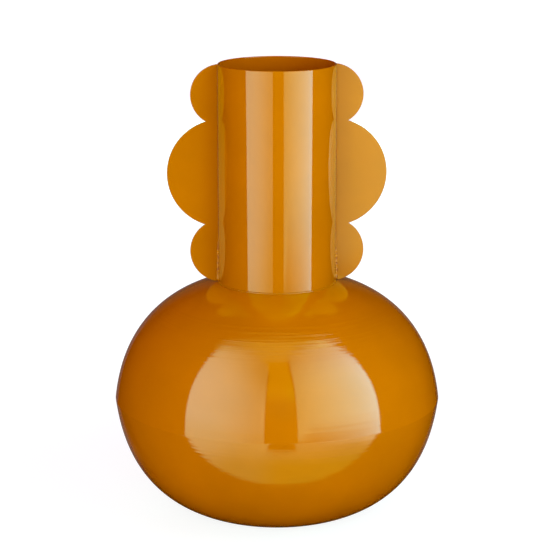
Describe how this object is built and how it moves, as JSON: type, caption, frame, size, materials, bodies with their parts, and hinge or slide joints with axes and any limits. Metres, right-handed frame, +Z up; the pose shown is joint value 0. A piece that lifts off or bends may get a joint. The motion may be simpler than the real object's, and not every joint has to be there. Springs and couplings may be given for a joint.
{
  "type": "vase",
  "caption": "Glossy lacquered sheet-metal vase: squat round body, straight cylindrical neck, and a flat scalloped fin with three round lobes on each side of the neck.",
  "frame": {"origin": "on the table surface, under the middle of the base", "axes": "+Z up through the mouth, the fins along +X and -X, the front facing -Y"},
  "size_m": [0.2016, 0.2016, 0.28],
  "materials": {
    "amber_lacquer": "high-gloss amber enamel over sheet iron, with a faint flow ripple",
    "lacquered_weld": "the same enamel pooled over small uneven weld beads"
  },
  "bodies": {
    "root": {"lower_shell": "amber_lacquer", "upper_shell": "amber_lacquer", "seam_weld": "amber_lacquer", "neck_tube": "amber_lacquer", "neck_weld": "lacquered_weld", "left_fin": "amber_lacquer", "right_fin": "amber_lacquer", "left_fin_front_weld": "lacquered_weld", "left_fin_back_weld": "lacquered_weld", "right_fin_front_weld": "lacquered_weld", "right_fin_back_weld": "lacquered_weld"}
  },
  "joints": []
}
